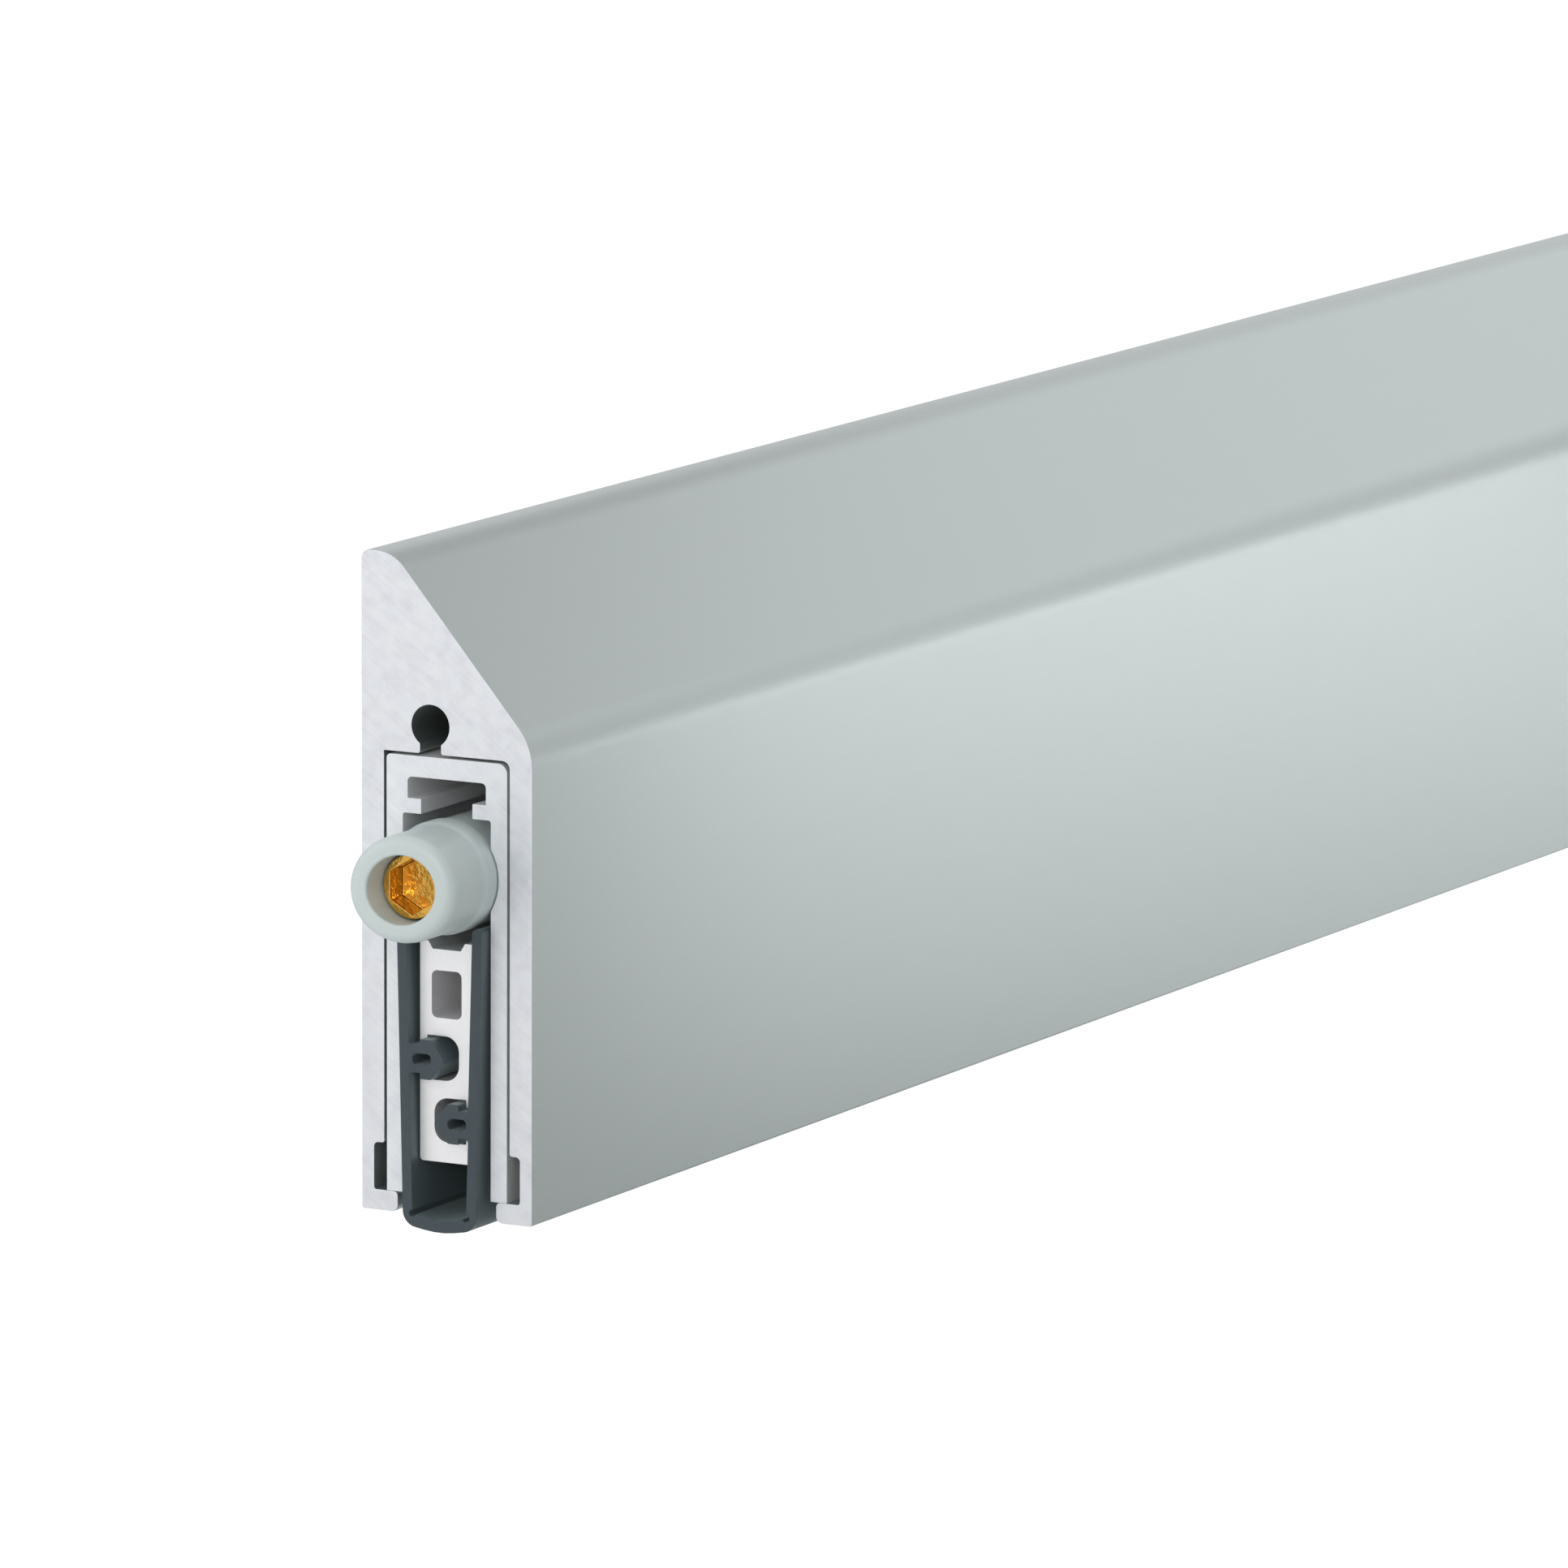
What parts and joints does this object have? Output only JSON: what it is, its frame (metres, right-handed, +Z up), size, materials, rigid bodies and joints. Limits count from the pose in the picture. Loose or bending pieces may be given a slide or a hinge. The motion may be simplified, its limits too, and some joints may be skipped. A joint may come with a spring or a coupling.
{
  "type": "automatic door bottom seal",
  "caption": "Surface-mounted drop seal: wedge-topped aluminium rail with an end button that, pressed by the door frame, lowers a rubber seal to the floor.",
  "frame": {"origin": "middle of the flat back face that lies on the door", "axes": "+X out from the door, +Y along the rail away from the release button, +Z up"},
  "size_m": [0.014, 0.3436, 0.0489],
  "materials": {
    "anodised_aluminium": "satin natural anodised",
    "mill_aluminium": "as extruded",
    "bright_aluminium": "bright, smooth",
    "seal_rubber": "matte slate grey",
    "grey_plastic": "smooth moulded",
    "black_plastic": "moulded",
    "brass": "turned",
    "steel": "zinc plated"
  },
  "bodies": {
    "rail": {"housing_profile": "anodised_aluminium", "inner_channel": "mill_aluminium", "front_rod_guide": "black_plastic", "rear_rod_guide": "black_plastic", "seal_guide_block": "black_plastic", "guide_rivets": "mill_aluminium", "return_spring": "steel"},
    "rod": {"push_rod": "steel", "rod_sleeve": "brass", "sleeve_pin": "steel", "upper_pivot_pins": "steel"},
    "button": {"release_button": "grey_plastic"},
    "screw": {"adjusting_screw": "brass", "screw_retainer": "steel"},
    "front_lever": {"front_lever_left": "steel", "front_lever_right": "steel"},
    "rear_lever": {"rear_lever_left": "steel", "rear_lever_right": "steel"},
    "seal": {"seal_carrier": "bright_aluminium", "seal_profile": "seal_rubber", "front_lever_bracket": "steel", "rear_lever_bracket": "steel", "lower_pivot_pins": "steel", "guide_blade": "steel", "bracket_rivets": "mill_aluminium"}
  },
  "joints": [
    {"name": "release", "type": "slide", "parent": "rail", "child": "rod", "axis": [0, 1, 0], "range_m": [0, 0.0036], "stiffness_N_per_m": 1500, "springref_m": -0.004, "deforming": ["return_spring"]},
    {"name": "seal_drop", "type": "slide", "parent": "rail", "child": "seal", "axis": [0, 0, -1], "range_m": [0, 0.008]},
    {"name": "front_lever_turn", "type": "hinge", "parent": "rod", "child": "front_lever", "pos_m": [0.007, -0.05695, 0.0026], "axis": [-1, 0, 0], "range_deg": [0, 25.34]},
    {"name": "rear_lever_turn", "type": "hinge", "parent": "rod", "child": "rear_lever", "pos_m": [0.007, 0.08375, 0.0026], "axis": [-1, 0, 0], "range_deg": [0, 25.34]},
    {"name": "button_adjust", "type": "slide", "parent": "rod", "child": "button", "axis": [0, -1, 0], "range_m": [0, 0.003]},
    {"name": "adjuster_turn", "type": "hinge", "parent": "button", "child": "screw", "pos_m": [0.007, -0.1675, 0.0009], "axis": [0, -1, 0], "range_deg": [0, 2160.1]}
  ],
  "couplings": [
    {"joint": "seal_drop", "follows": "release", "ratio": 2.2246},
    {"joint": "front_lever_turn", "follows": "release", "rad_per_m": 122.95},
    {"joint": "rear_lever_turn", "follows": "release", "rad_per_m": 122.95},
    {"joint": "adjuster_turn", "follows": "button_adjust", "rad_per_m": 12566}
  ]
}
